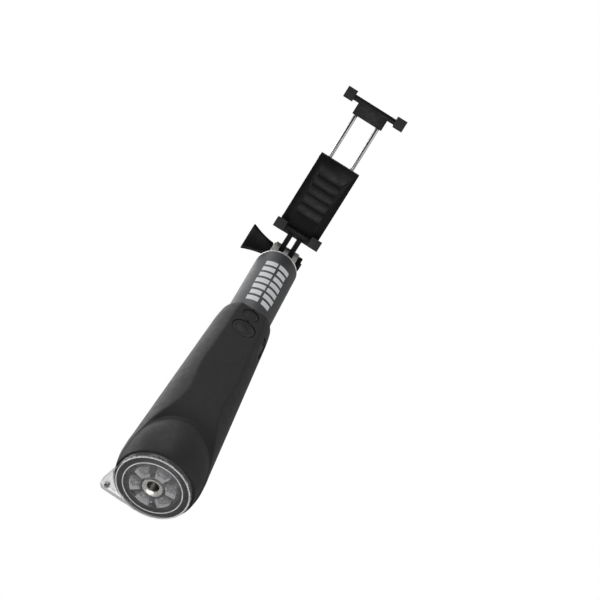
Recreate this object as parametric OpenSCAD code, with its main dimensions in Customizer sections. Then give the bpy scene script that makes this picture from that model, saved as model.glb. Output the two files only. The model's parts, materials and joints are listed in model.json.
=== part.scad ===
// Telescopic hand-held selfie stick with remote buttons, a fork mount and a sprung phone clamp.
// Millimetres. +Z runs up the stick from the base face, the buttons face -Y.

/* [Grip] */
// Height of the top edge of the grip
grip_top = 135.2; // [130:0.2:137]
// Largest radius of the grip
grip_r = 20.3; // [19.9:0.1:21]
// Thickness of the rubber sleeve
rubber = 1.5; // [1.4:0.05:1.6]
// Radius of the power button
power_r = 4.2; // [4:0.1:4.6]
// Radius of the shutter button
shutter_r = 6.2; // [5.6:0.1:6.3]
// Travel of both buttons
press = 0.3; // [0.1:0.05:0.3]

/* [Tubes] */
// Height of the top edge of the outer tube
tube_top = 193.2; // [190:0.2:200]
// Outer radius of the outer tube
tube_r = 12.2; // [12.1:0.05:12.3]
// Travel of the lowest stage
stroke_1 = 118; // [60:1:118]
// Travel of the middle stage
stroke_2 = 100; // [60:1:100]
// Travel of the top stage
stroke_3 = 84; // [60:1:84]

/* [Fork] */
// Height of the tilt axis above the outer tube
axis_rise = 14.8; // [14.4:0.1:16]
// Rounded end radius of the fork's prongs
prong_r = 6.3; // [6.2:0.1:7.2]
// Thickness of a prong
prong_t = 2.9; // [2.6:0.1:2.9]
// Lean of the clamp from straight up, towards the buttons
tilt = 62.9; // [50:0.1:80]

/* [Clamp] */
// Opening between the jaws
opening = 78.3; // [72:0.1:82]
// Width over the upper claws
upper_w = 38.2; // [36:0.1:40]
// Width over the lower claws
lower_w = 29; // [28.4:0.1:30]
// Depth of the phone that the claws hook over
phone_t = 7.4; // [7:0.1:8]

/* [Hidden] */
$fn = 72;
eps = 0.05;
run = 0.05;         // radial running clearance

// Grip form
grip_base = 3;      // height of the grip's lower edge, on the cap's flange
belly_z = 14;       // height of the grip's largest radius
shoulder_z = 127.6;   // height where the top shoulder starts to round
taper = 0.0452;     // radius lost per mm of height
base_in = 1.3;      // how much the lower edge draws in
top_in = 0.9;       // how much the shoulder draws in
panel_y = 12.2;     // distance of the flat panel's top edge from the axis
panel_tilt = 3;     // lean of the button panel, degrees
core_wall = 1.5;
rib_z = [64, 96];   // underside of the core's ribs

// End cap
cap_r = 18;
cap_t = 3;
cap_round = 0.8;
spigot_r = 13.85;
spigot_t = 6;
tab_angle = 143;    // direction of the lanyard tab from +X
tab_out = 22.2;     // distance of the tab's hole from the axis
tab_r = 3.2;
lanyard_r = 1.3;
pocket_in = 6.2;
pocket_out = 11;
pocket_t = 2.4;
pocket_count = 6;
pocket_span = 38;
pocket_turn = 35;   // direction of the first pocket from +X

// Tripod insert
insert_r = 4.8;
insert_len = 9.4;
thread_r = 3.25;
thread_len = 8;

// Tubes, outer and inner radius of each, from the guide tube inwards
wall = 0.7;
guide_r = 9.7;
stage_r = [guide_r, 8.1, 6.5, 4.9];
function bore_r(i) = stage_r[i] - wall;
guide_foot = 11.7;
stage_foot = [guide_foot, 34, 58, 82];   // lower end of each tube
lock_h = 19;        // height of a twist lock below its tube
plug_h = 4.4;       // depth of a plug inside its tube
bush_h = 8;
flange_t = 1.1;
flange_z = tube_top + 0.3;     // underside of the fork's flange

// Fork
axis_z = tube_top + axis_rise;
gap = prong_t + 0.2;
pitch = prong_t + 0.1;     // half the distance between like faces of neighbouring prongs
fork_half = 1.5 * prong_t + gap;
bolt_r = 2.45;
bolt_hole = bolt_r + run;
knob_turn = 54;     // lean of the knob's fan from upright, degrees
knob_t = 5.2;
neck_r = 4.4;       // half-height of the fan where it meets the neck
fan_out = 3.8;      // how much the fan widens

// Clamp, measured from the tilt axis before it leans
seat_lo = 17.3;
seat_up = seat_lo + opening;
back_y = phone_t / 2 + 0.5;      // front face of the clamp's back
jaw_floor = 13.2;
lower_bar = 16.1;                // width of the lower jaw between its claws
upper_bar = 26.4;
claw_front = phone_t / 2 + 0.3;  // inner face of the claws' lips
lip_t = 2.2;
house_w = 25;
house_top = 62;
house_t = 8.6;
rod_x = 7.2;
rod_r = 1.25;
rod_y = back_y + house_t / 2;
rod_foot = 38;
bulkhead = 56;      // height of the wall that the springs push on

// Panel frame: origin at the middle of the panel's top edge, depth measured inwards
board_d = 1.6;
board_t = 0.7;
power_z = -6.1;
shutter_z = -19.2;
lens_z = [-0.5, -11.8];
lens_r = 0.35;
power_proud = 0.1;
shutter_proud = 0.1;

// Leads
wire = 0.4;
lead_r = [11, 12.1];
lead_end = [55, 58];
arc_z = 99.5;
board_back = 11.5;

// Charging port, on the right-hand side of the grip
port_angle = 58;    // from the front towards +X
port_z = 115.5;
port_h = 15;
port_w = 5.6;
port_r = 15.55;     // distance of the port's mouth from the axis

// ---------- shapes ----------

// Ring between two radii
module ring(ro, ri, h) {
    difference() {
        cylinder(r = ro, h = h);
        translate([0, 0, -1]) cylinder(r = ri, h = h + 2);
    }
}

// Cylinder along +X from x0 to x1
module bar_x(r, x0, x1) {
    translate([x0, 0, 0]) rotate([0, 90, 0]) cylinder(r = r, h = x1 - x0);
}

// Box centred on X, from y0 to y1 and z0 to z1
module slab(w, y0, y1, z0, z1) {
    translate([-w / 2, y0, z0]) cube([w, y1 - y0, z1 - z0]);
}

// Outline in the YZ plane drawn out along X
module along_x(w) {
    translate([-w / 2, 0, 0]) rotate([90, 0, 90]) linear_extrude(height = w) children();
}

// Flat sector between two radii
module sector(ro, ri, span) {
    steps = 6;
    polygon(concat(
        [for (i = [0:steps]) ro * [cos(span * (i / steps - 0.5)), sin(span * (i / steps - 0.5))]],
        [for (i = [steps:-1:0]) ri * [cos(span * (i / steps - 0.5)), sin(span * (i / steps - 0.5))]]));
}

// Places its children in the clamp's frame, which turns about the tilt axis
module in_clamp() {
    translate([0, 0, axis_z]) rotate([tilt, 0, 0]) children();
}

// Places its children on the button panel, +Z up the panel, +Y inwards
module on_panel() {
    translate([0, -panel_y, grip_top]) rotate([-panel_tilt, 0, 0]) children();
}

// Cylinder into the panel, from depth d0 to d1
module into_panel(r, z, d0, d1, x = 0) {
    translate([x, d0, z]) rotate([-90, 0, 0]) cylinder(r = r, h = d1 - d0);
}

// Places its children at the charging port, +X outwards
module at_port() {
    rotate([0, 0, port_angle - 90]) translate([port_r, 0, port_z]) children();
}

// Upright slot with round ends, drawn along X from x0 to x1
module slot_x(h, w, x0, x1) {
    for (s = [-1, 1]) translate([0, 0, s * (h - w) / 2]) bar_x(w / 2, x0, x1);
    translate([x0, -w / 2, -(h - w) / 2]) cube([x1 - x0, w, h - w]);
}

// ---------- grip ----------

// Side radius of the grip at a height
function side_r(z) =
    z < belly_z ? grip_r - base_in * pow((belly_z - z) / (belly_z - grip_base), 2)
    : grip_r - taper * (z - belly_z)
        - (z > shoulder_z ? top_in * pow((z - shoulder_z) / (grip_top - shoulder_z), 2) : 0);

// Radius of the bulb at the base, which shows in front of the waist
bulb_top = 41;
function bulb_r(z) = z < belly_z ? side_r(z) - 0.3
    : (side_r(belly_z) - 0.3) * sqrt(1 - pow((z - belly_z) / (bulb_top - belly_z), 2) * 0.9);

// Front of the grip, as [distance from the axis, height]
front = [
    [2.5, 5.5], [5.8, 11], [8.2, 17], [10.9, 26], [13.1, 31.5], [15, 38], [16, 45], [16.1, 52],
    [15.4, 62], [14.5, 71], [14, 80], [13.75, 95], [13.33, 112], [panel_y, grip_top], [12.15, 161]];

side_z = concat([3, 4.5, 6.5, 9, 11.5], [14, 40, 70, 100, shoulder_z], [130.1, 132.6, grip_top]);
bulb_z = [3, 5, 8, 11, 14, 18, 22, 26, 30, 34, 38, 40.8];

// The grip's whole shape, drawn in by an inset
module grip_form(inset, z1 = grip_top) {
    body_z = [for (z = side_z) if (z < z1) z];
    rotate_extrude() polygon(concat([[0, grip_base]],
        [for (z = bulb_z) [bulb_r(z) - inset, z]], [[0, 40.8]]));
    difference() {
        rotate_extrude() polygon(concat([[0, grip_base]],
            [for (z = body_z) [side_r(z) - inset, z]], [[side_r(z1) - inset, z1], [0, z1]]));
        along_x(60) polygon(concat([[-40, 0], [-1 + inset, 0]],
            [for (p = front) [-p[0] + inset, p[1]]], [[-40, 160]]));
    }
}

// Profiles of the hard core: side radius, front distance and the bulb's radius, each with its height
core_side = [[17.4, grip_base], [18.6, 12], [13.7, 127], [12.6, grip_top]];
core_front = [[2, grip_base], [6.9, 17], [11.8, 31.5], [12.6, 45], [12.46, 100], [10.7, grip_top], [10.7, 160]];
core_bulb = [[17.2, grip_base], [18.1, 9], [18.1, 15], [16.3, 26], [12, 34]];
cavity_side = [[16.9, 11.5], [16.9, 15], [12.1, 126]];

// Solid of revolution inside a side profile, with its front cut off
module fronted(side, inset) {
    foot = side[0][1];
    head = side[len(side) - 1][1];
    intersection() {
        rotate_extrude() polygon(concat([[0, foot]], side, [[0, head]]));
        along_x(60) polygon(concat([[40, 0], [-core_front[0][0] + inset, 0]],
            [for (p = core_front) [-p[0] + inset, p[1]]], [[40, 160]]));
    }
}

module core_block() {
    fronted(core_side, 0);
    rotate_extrude() polygon(concat([[0, grip_base]], core_bulb, [[0, 34]]));
}

module grip_sleeve() color([0.10, 0.10, 0.11]) difference() {
    grip_form(0);
    core_block();
    on_panel() for (b = [[power_r, power_z], [shutter_r, shutter_z]]) {
        into_panel(b[0] + 0.25, b[1], -3, 3);
        into_panel(b[0] + 0.75, b[1], 0.8, 3);
    }
    on_panel() for (z = lens_z) into_panel(lens_r + 0.05, z, -3, 3);
    at_port() slot_x(port_h + 0.4, port_w + 0.4, -3, 4);
    // opening for the end cap's spigot
    translate([0, 0, grip_base - 1]) cylinder(r = spigot_r + 0.05, h = 3);
}

module grip_core() color([0.16, 0.16, 0.17]) difference() {
    union() {
        difference() {
            core_block();
            difference() {
                fronted(cavity_side, core_wall);
                for (z = rib_z) translate([0, 0, z]) cylinder(r = 30, h = 2);
            }
        }
        translate([0, 0, grip_top]) cylinder(r = tube_r - 1.05, h = 16);
    }
    translate([0, 0, guide_foot - 0.05]) cylinder(r = guide_r + 0.03, h = 160);
    translate([0, 0, grip_base - 1]) cylinder(r = spigot_r + 0.05, h = spigot_t + 1.2);
    translate([0, 0, 5]) cylinder(r = insert_r + 0.4, h = 20);
    // window under the buttons
    slab(17.4, -20, -5, arc_z - 1.1, grip_top - 0.6);
    // battery bay through the lower rib
    slab(13, 10.2, 14.3, 50, 67);
    // ways for the leads through the ribs
    for (r = lead_r) rotate([0, 0, 80]) translate([r, 0, 50]) cylinder(r = wire + 0.25, h = 60);
    at_port() slot_x(port_h + 0.4, port_w + 0.4, -6.5, 4);
}

module end_cap() color([0.85, 0.87, 0.9, 0.5]) difference() {
    union() {
        rotate_extrude() polygon(concat([[0, 0]],
            [for (a = [0:15:90]) [cap_r - cap_round + cap_round * sin(a), cap_round - cap_round * cos(a)]],
            [[cap_r, cap_t], [0, cap_t]]));
        linear_extrude(height = cap_t) tab_outline();
        translate([0, 0, cap_t - eps]) cylinder(r = spigot_r, h = spigot_t + eps);
    }
    rotate([0, 0, tab_angle]) translate([tab_out, 0, -1]) cylinder(r = lanyard_r, h = cap_t + 2);
    translate([0, 0, -1]) cylinder(r = insert_r + 0.01, h = 20);
    for (i = [0:pocket_count - 1]) rotate([0, 0, pocket_turn + i * 360 / pocket_count])
        translate([0, 0, -1]) linear_extrude(height = pocket_t + 1) sector(pocket_out, pocket_in, pocket_span);
    // moulding recess on the inside and the seal's groove
    translate([0, 0, cap_t + 2]) ring(11.8, 6.6, spigot_t);
    translate([0, 0, cap_t + 2.2]) ring(spigot_r + 1, spigot_r - 0.95, 1.7);
}

// Outline of the lanyard tab: tangents from the flange to the tab's round end
module tab_outline() {
    flange = cap_r - 0.4;
    a = acos((flange - tab_r) / tab_out);
    rotate([0, 0, tab_angle]) {
        translate([tab_out, 0]) circle(r = tab_r);
        polygon([flange * [cos(a), sin(a)], [tab_out, 0] + tab_r * [cos(a), sin(a)], [tab_out, 0],
            [tab_out, 0] + tab_r * [cos(a), -sin(a)], flange * [cos(a), -sin(a)], [0, 0]]);
    }
}

module tripod_insert() color([0.78, 0.78, 0.75]) difference() {
    cylinder(r = insert_r, h = insert_len);
    translate([0, 0, -1]) cylinder(r = thread_r, h = thread_len + 1);
    // grip grooves around the outside
    for (z = [2.4, 5.2]) translate([0, 0, z]) ring(insert_r + 1, insert_r - 0.35, 0.8);
}

module cap_seal() color([0.08, 0.08, 0.08])
    translate([0, 0, cap_t + 3.05]) rotate_extrude() translate([spigot_r - 0.42, 0]) circle(r = 0.46, $fn = 24);

// ---------- electronics ----------

module circuit_board() color([0.05, 0.25, 0.12]) difference() {
    on_panel() slab(14, board_d, board_d + board_t, -32, -1.6);
    on_panel() into_panel(0.6, -27.5, 0, 5, 5.4);
}

module tact_switches() color([0.75, 0.75, 0.72])
    on_panel() for (z = [power_z, shutter_z]) {
        slab2(3.4, board_d - 0.4, board_d, z);
        into_panel(1.2, z, board_d - 0.65, board_d - 0.4 + eps);
    }

// Square block into the panel, centred on a height
module slab2(w, d0, d1, z) {
    translate([-w / 2, d0, z - w / 2]) cube([w, d1 - d0, w]);
}

module status_lenses() color([0.7, 0.75, 0.8])
    on_panel() for (z = lens_z) into_panel(lens_r, z, 0.02, 1.3);

module charge_socket() color([0.7, 0.7, 0.72])
    at_port() difference() {
        translate([-4.9, -1.3, -3.8]) cube([3.2, 2.6, 7.6]);
        translate([-4.2, -0.9, -3.4]) cube([6, 1.8, 6.8]);
    }

module port_cover() color([0.07, 0.07, 0.07])
    at_port() union() {
        slot_x(port_h, port_w, -1.4, -0.4);
        translate([-1.6, -0.75, -3.1]) cube([0.3, 1.5, 6.2]);
        // finger lip
        translate([-0.45, -1.5, port_h / 2 - 3]) cube([0.45, 3, 1]);
    }

module battery() color([0.75, 0.76, 0.78]) union() {
    slab(11.6, 10.4, 13.6, 22, 60);
    slab(9, 11.1, 12.9, 59.9, 62);
}

// Two leads from the cell, round the guide tube and up to the board
module battery_leads() color([0.6, 0.05, 0.05]) for (i = [0, 1]) {
    r = lead_r[i];
    end = -lead_end[i];
    rotate([0, 0, 80]) translate([r, 0, 62.3]) cylinder(r = wire, h = arc_z - 62.3);
    rotate([0, 0, end]) rotate_extrude(angle = 80 - end) translate([r, arc_z]) circle(r = wire);
    for (a = [80, end]) rotate([0, 0, a]) translate([r, 0, arc_z]) sphere(r = wire + 0.08);
    rotate([0, 0, end]) translate([r, 0, arc_z]) cylinder(r = wire, h = 4.5);
    translate([r * cos(end), r * sin(end), arc_z + 4.5]) {
        sphere(r = wire + 0.08);
        rotate([90, 0, 0]) cylinder(r = wire, h = board_back - r * abs(sin(end)));
    }
}

// Round button with a flange under the sleeve and a ring groove in its face
module button(r, z, proud) {
    on_panel() difference() {
        union() {
            into_panel(r, z, -proud, 0.9);
            into_panel(r + 0.5, z, 0.85, 1.2);
        }
        into_panel(r - 0.8, z, 0.55, 2);
        difference() {
            into_panel(r - 1, z, -2, 0.25 - proud);
            into_panel(r * 0.5, z, -2, 1);
        }
    }
}

module power_button() color([0.12, 0.12, 0.13]) button(power_r, power_z, power_proud);
module shutter_button() color([0.12, 0.12, 0.13]) button(shutter_r, shutter_z, shutter_proud);

// ---------- tubes ----------

module outer_tube() color([0.36, 0.37, 0.40])
    translate([0, 0, grip_top + 0.02]) ring(tube_r, tube_r - 1, tube_top - grip_top - 0.02);

module guide_tube() color([0.6, 0.6, 0.62])
    translate([0, 0, guide_foot]) ring(guide_r, bore_r(0), tube_top - 0.4 - guide_foot);

module outer_collar() color([0.12, 0.12, 0.13]) difference() {
    union() {
        translate([0, 0, tube_top - 9]) ring(tube_r - 1.02, guide_r + 0.02, 8.6);
        translate([0, 0, tube_top - bush_h - 0.4]) ring(bore_r(0) - 0.01, stage_r[1] + run, bush_h);
        translate([0, 0, tube_top - 0.42]) ring(tube_r - 1.02, stage_r[1] + run, 0.4);
    }
}

module stage_tube(i)
    color([0.55 + 0.05 * i, 0.56 + 0.05 * i, 0.58 + 0.05 * i]) translate([0, 0, stage_foot[i]])
        ring(stage_r[i], bore_r(i), tube_top - stage_foot[i]);

// Guide bush in the top end of a stage
module stage_bush(i) color([0.12, 0.12, 0.13])
    translate([0, 0, tube_top - bush_h]) ring(bore_r(i) - 0.01, stage_r[i + 1] + run, bush_h - 0.02);

// Plug in a stage's lower end, with the stud of its twist lock
module stage_plug(i) color([0.2, 0.2, 0.21]) union() {
    translate([0, 0, stage_foot[i] + 0.02]) cylinder(r = bore_r(i) - 0.01, h = plug_h);
    translate([0, 0, stage_foot[i] - 1.5]) cylinder(r = stage_r[i], h = 1.5 + 0.01);
    translate([0, 0, stage_foot[i] - lock_h + 1.2]) cylinder(r = 1.6, h = lock_h - 1.2);
}

// Cone nut that the stud turns in, inside its split collet
module stage_expander(i) color([0.75, 0.72, 0.62]) difference() {
    collet_in = stage_r[i] * 0.62;
    union() {
        translate([0, 0, stage_foot[i] - lock_h]) cylinder(r = bore_r(i - 1) - 0.2, h = 2);
        translate([0, 0, stage_foot[i] - lock_h + 1.9]) cylinder(r1 = collet_in - 0.1, r2 = collet_in - 0.7, h = 12);
    }
    translate([0, 0, stage_foot[i] - lock_h + 1]) cylinder(r = 1.65, h = 20);
}

module stage_collet(i) color([0.85, 0.85, 0.82]) difference() {
    collet_in = stage_r[i] * 0.62;
    translate([0, 0, stage_foot[i] - lock_h + 2.2]) ring(bore_r(i - 1) - run, collet_in, 14.6);
    translate([0, -0.6, stage_foot[i] - lock_h]) cube([20, 1.2, 20]);
}

module tube_1() stage_tube(1);
module tube_2() stage_tube(2);
module tube_3() stage_tube(3);
module plug_1() stage_plug(1);
module plug_2() stage_plug(2);
module plug_3() stage_plug(3);
module expander_1() stage_expander(1);
module expander_2() stage_expander(2);
module expander_3() stage_expander(3);
module collet_1() stage_collet(1);
module collet_2() stage_collet(2);
module collet_3() stage_collet(3);
module bush_1() stage_bush(1);
module bush_2() stage_bush(2);

// ---------- fork ----------

// One upright prong with a round end about the tilt axis, centred on x
module prong(x, t, foot) {
    translate([0, 0, axis_z]) difference() {
        union() {
            bar_x(prong_r, x - t / 2, x + t / 2);
            translate([x - t / 2, -prong_r, foot - axis_z]) cube([t, 2 * prong_r, axis_z - foot]);
        }
        bar_x(bolt_hole, x - 5, x + 5);
    }
}

module fork_head() color([0.80, 0.80, 0.78]) difference() {
    union() {
        for (s = [-1, 0, 1]) prong(s * 2 * pitch, prong_t, tube_top + 1);
        rotate_extrude() polygon([[0, flange_z], [tube_r - 0.3, flange_z],
            [tube_r, flange_z + 0.3], [tube_r, flange_z + flange_t - 0.3],
            [tube_r - 0.3, flange_z + flange_t], [0, flange_z + flange_t]]);
        translate([0, 0, flange_z + flange_t - eps]) cylinder(r1 = tube_r - 1.5, r2 = prong_r + 1.4, h = 3);
        translate([0, 0, tube_top - 16]) cylinder(r = bore_r(3) - 0.01, h = 17);
    }
    // gaps for the clamp's prongs, cut round the tilt axis
    for (s = [-1, 1]) translate([0, 0, axis_z]) {
        bar_x(prong_r + 1, s * pitch - gap / 2, s * pitch + gap / 2);
        translate([s * pitch - gap / 2, -20, 0]) cube([gap, 40, 20]);
    }
    translate([0, 0, tube_top - 8]) rotate([90, 0, 0]) cylinder(r = 1.0, h = 40, center = true);
}

module head_rivet() color([0.6, 0.6, 0.6]) difference() {
    translate([0, 0, tube_top - 8]) rotate([90, 0, 0]) cylinder(r = 0.99, h = 2 * (bore_r(3) - 0.15), center = true);
}

// Fan-shaped knob on the left end of the bolt
module thumb_knob() color([0.08, 0.08, 0.09]) translate([0, 0, axis_z]) difference() {
    union() {
        bar_x(4.7, -fork_half - 4.2, -fork_half - 0.9);
        // flared fan
        rotate([90 + knob_turn, 0, 0]) linear_extrude(height = knob_t, center = true) fan_outline();
    }
    bar_x(bolt_r, -fork_half - 7, 0);
}

// Outline of the fan: concave sides opening to a straight outer edge
module fan_outline() {
    steps = 8;
    x_in = -fork_half - 2.5;
    x_out = -23.5;
    side = [for (i = [0:steps]) [x_in + (x_out - x_in) * i / steps, neck_r + fan_out * pow(i / steps, 1.7)]];
    polygon(concat(side, [for (i = [steps:-1:0]) [side[i][0], -side[i][1]]]));
}

module thumb_bolt() color([0.7, 0.7, 0.72]) translate([0, 0, axis_z])
    bar_x(bolt_r, -fork_half - 6.5, fork_half + 3.9);

module bolt_washer() color([0.72, 0.72, 0.72]) translate([0, 0, axis_z]) difference() {
    bar_x(5.2, -fork_half - 0.85, -fork_half - 0.05);
    bar_x(bolt_r + 0.1, -20, 20);
}

// Hexagonal cage on the right-hand prong, holding the nut
module nut_cage() color([0.07, 0.07, 0.08]) translate([0, 0, axis_z]) difference() {
    translate([fork_half + 0.02, 0, 0]) rotate([0, 90, 0]) rotate([0, 0, 30]) cylinder(r = 6, h = 2.9, $fn = 6);
    translate([fork_half + 0.8, 0, 0]) rotate([0, 90, 0]) rotate([0, 0, 30]) cylinder(r = 4.7, h = 6, $fn = 6);
    bar_x(bolt_r + 0.1, 0, 20);
}

module lock_nut() color([0.25, 0.25, 0.26]) translate([0, 0, axis_z]) difference() {
    translate([fork_half + 0.85, 0, 0]) rotate([0, 90, 0]) rotate([0, 0, 30]) cylinder(r = 4.6, h = 1.9, $fn = 6);
    bar_x(bolt_hole, 0, 20);
}

// ---------- clamp ----------

// Outline of a claw in the YZ plane: post, then a lip in front of the phone
// z0 is the outer end, z1 the seat, z2 the lip's tip
module claw_outline(z0, z1, z2, inset = 0) {
    polygon([[back_y + 1, z0], [-claw_front - lip_t, z0], [-claw_front - lip_t, z2],
        [-claw_front, z2], [-claw_front, z1], [back_y + 1, z1]]);
}

module lower_jaw() color([0.07, 0.07, 0.08]) in_clamp() difference() {
    union() {
        for (s = [-1, 1]) difference() {
            union() {
                bar_x(prong_r - 0.2, s * pitch - prong_t / 2, s * pitch + prong_t / 2);
                translate([s * pitch - prong_t / 2, -prong_r + 0.8, 0]) cube([prong_t, 2 * prong_r - 1.6, jaw_floor + 1]);
            }
            bar_x(bolt_hole, -20, 20);
        }
        // seat bar and the hard fingers inside the pads
        slab(lower_bar, -3.5, back_y + 1, jaw_floor, seat_lo - 0.05);
        slab(lower_w - 1.6, -3.5, back_y + 1, jaw_floor + 0.8, seat_lo - 0.9);
        for (s = [-1, 1]) translate([s * (lower_w + lower_bar) / 4, 0, 0]) {
            slab(4.4, -claw_front - 1.4, -3, jaw_floor + 0.8, seat_lo - 0.9);
            slab(4.4, -claw_front - 1.4, -claw_front - 0.6, jaw_floor + 0.8, seat_lo + 1);
        }
        // back tray
        slab(house_w, back_y, back_y + 6.6, jaw_floor, house_top);
    }
    // spring channels, open at the back, and rod holes in the bulkhead
    for (s = [-1, 1]) {
        slab_at(s * rod_x, 5.6, back_y + 1.4, back_y + 10, 17, bulkhead);
        translate([s * rod_x, rod_y, 20]) cylinder(r = rod_r + run, h = 60);
    }
    // room between the channels
    slab(6, back_y + 2.6, back_y + 10, 17, bulkhead);
    // screw holes
    for (p = cover_points) translate([p[0], back_y + 2, p[1]]) rotate([-90, 0, 0]) cylinder(r = 0.85, h = 20);
    // grip grooves on the front of the back tray
    for (z = [26:6:50]) slab(15, back_y - 1, back_y + 0.5, z, z + 2.4);
}

module slab_at(x, w, y0, y1, z0, z1) translate([x, 0, 0]) slab(w, y0, y1, z0, z1);

cover_points = [for (x = [-11.1, 11.1]) for (z = [19, 59]) [x, z]];

module clamp_cover() color([0.08, 0.08, 0.09]) in_clamp() difference() {
    slab(house_w, back_y + 6.65, back_y + house_t + 0.4, jaw_floor, house_top);
    for (p = cover_points) {
        translate([p[0], back_y, p[1]]) rotate([-90, 0, 0]) cylinder(r = 1.0, h = 20);
        translate([p[0], back_y + house_t - 0.55, p[1]]) rotate([-90, 0, 0]) cylinder(r = 1.75, h = 20);
    }
    for (s = [-1, 1]) translate([s * rod_x, rod_y, 0]) cylinder(r = rod_r + 1.3, h = 100);
}

module cover_screws() color([0.6, 0.6, 0.6]) in_clamp() for (p = cover_points)
    translate([p[0], 0, p[1]]) rotate([-90, 0, 0]) difference() {
        union() {
            translate([0, 0, back_y + 2.5]) cylinder(r = 0.84, h = 5.6);
            translate([0, 0, back_y + house_t - 0.54]) cylinder(r = 1.65, h = 0.8);
        }
        for (a = [0, 90]) rotate([0, 0, a])
            translate([-0.9, -0.22, back_y + house_t - 0.14]) cube([1.8, 0.44, 2]);
    }

// Rubber sleeves over the lower fingers
module lower_pads() color([0.13, 0.13, 0.14]) in_clamp() difference() {
    for (s = [-1, 1]) translate([s * (lower_w + lower_bar) / 4, 0, 0])
        along_x((lower_w - lower_bar) / 2 - 0.04) claw_outline(jaw_floor + 0.2, seat_lo, seat_lo + 2.1);
    slab(lower_w - 1.56, -3.55, 20, jaw_floor + 0.75, seat_lo - 0.85);
    for (s = [-1, 1]) translate([s * (lower_w + lower_bar) / 4, 0, 0]) {
        slab(4.44, -claw_front - 1.42, -2.9, jaw_floor + 0.75, seat_lo - 0.85);
        slab(4.44, -claw_front - 1.42, -claw_front - 0.58, jaw_floor + 0.75, seat_lo + 1.02);
    }
    slab(40, back_y - 0.02, 40, 0, 100);
}

// Upper jaw, with the fingers inside its pads
module upper_jaw() color([0.07, 0.07, 0.08]) in_clamp() difference() {
    union() {
        slab(upper_bar, -3.2, back_y + 1, seat_up + 0.6, seat_up + 3.9);
        slab(upper_w - 1.6, -3.2, back_y + 1, seat_up + 1.2, seat_up + 3.5);
        for (s = [-1, 1]) translate([s * (upper_w + upper_bar) / 4, 0, 0]) {
            slab(4, -claw_front - 1.4, back_y + 1, seat_up + 1.2, seat_up + 5.2);
        }
        slab(19, back_y, back_y + house_t - 0.6, seat_up - 6, seat_up + 3.9);
    }
    for (s = [-1, 1]) translate([s * rod_x, rod_y, seat_up - 10]) cylinder(r = rod_r, h = 12);
}

// Rubber sleeves over the upper fingers
module upper_pads() color([0.13, 0.13, 0.14]) in_clamp() difference() {
    for (s = [-1, 1]) translate([s * (upper_w + upper_bar) / 4, 0, 0])
        along_x((upper_w - upper_bar) / 2 - 0.04) claw_outline(seat_up + 6, seat_up + 0.3, seat_up - 0.7);
    slab(upper_w - 1.56, -3.25, 20, seat_up + 1.15, seat_up + 3.55);
    for (s = [-1, 1]) translate([s * (upper_w + upper_bar) / 4, 0, 0])
        slab(4.04, -claw_front - 1.42, 20, seat_up + 1.15, seat_up + 5.25);
    slab(50, back_y - 0.02, 40, 0, 200);
}

module guide_rods() color([0.82, 0.82, 0.83]) in_clamp() for (s = [-1, 1])
    translate([s * rod_x, rod_y, rod_foot]) cylinder(r = rod_r, h = seat_up + 2 - rod_foot);

module rod_collars() color([0.75, 0.7, 0.5]) in_clamp() for (s = [-1, 1])
    translate([s * rod_x, rod_y, rod_foot + 0.4]) ring(2.5, rod_r, 1.6);

// Compression springs between the rods' collars and the bulkhead
spring_r = 2.1;
wire_r = 0.28;
turns = 7;
spring_lo = rod_foot + 2.05;
spring_hi = bulkhead - 0.05;
ring_steps = 10;
module jaw_springs() color([0.7, 0.7, 0.7]) in_clamp() for (s = [-1, 1])
    translate([s * rod_x, rod_y, spring_lo + wire_r]) coil(spring_r, wire_r, turns, spring_hi - spring_lo - 2 * wire_r);

// Round wire wound into a coil spring
module coil(r, w, n, h) {
    sides = 6;
    last = n * ring_steps;
    pts = [for (i = [0:last]) for (k = [0:sides - 1])
        let (a = 360 * i / ring_steps, b = 360 * k / sides, q = r + w * cos(b))
        [q * cos(a), q * sin(a), h * i / last + w * sin(b)]];
    skin = [for (i = [0:last - 1]) for (k = [0:sides - 1])
        let (k2 = (k + 1) % sides)
        each [[i * sides + k, (i + 1) * sides + k, (i + 1) * sides + k2],
              [i * sides + k, (i + 1) * sides + k2, i * sides + k2]]];
    polyhedron(pts, concat([[for (k = [0:sides - 1]) k]],
        skin, [[for (k = [sides - 1:-1:0]) last * sides + k]]), convexity = 10);
}

end_cap();
tripod_insert();
cap_seal();
grip_core();
grip_sleeve();
circuit_board();
tact_switches();
charge_socket();
port_cover();
battery();
battery_leads();
power_button();
shutter_button();
status_lenses();
outer_tube();
guide_tube();
outer_collar();
tube_1();
plug_1();
expander_1();
collet_1();
bush_1();
tube_2();
plug_2();
expander_2();
collet_2();
bush_2();
tube_3();
plug_3();
expander_3();
collet_3();
fork_head();
head_rivet();
thumb_knob();
thumb_bolt();
bolt_washer();
nut_cage();
lock_nut();
lower_jaw();
clamp_cover();
cover_screws();
lower_pads();
jaw_springs();
upper_jaw();
upper_pads();
guide_rods();
rod_collars();
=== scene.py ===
"""Looks of a telescopic selfie stick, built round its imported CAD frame.

Sizes are in millimetres unless a name says otherwise, in the frame's own axes: +Z up the stick,
-Y to the front, +X to the right. Meshes are written in metres.
"""

import json
import logging
import math
from dataclasses import dataclass, field
from enum import Enum
from typing import Optional, Sequence

import bmesh
import bpy
import numpy as np
from mathutils import Matrix, Vector

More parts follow.
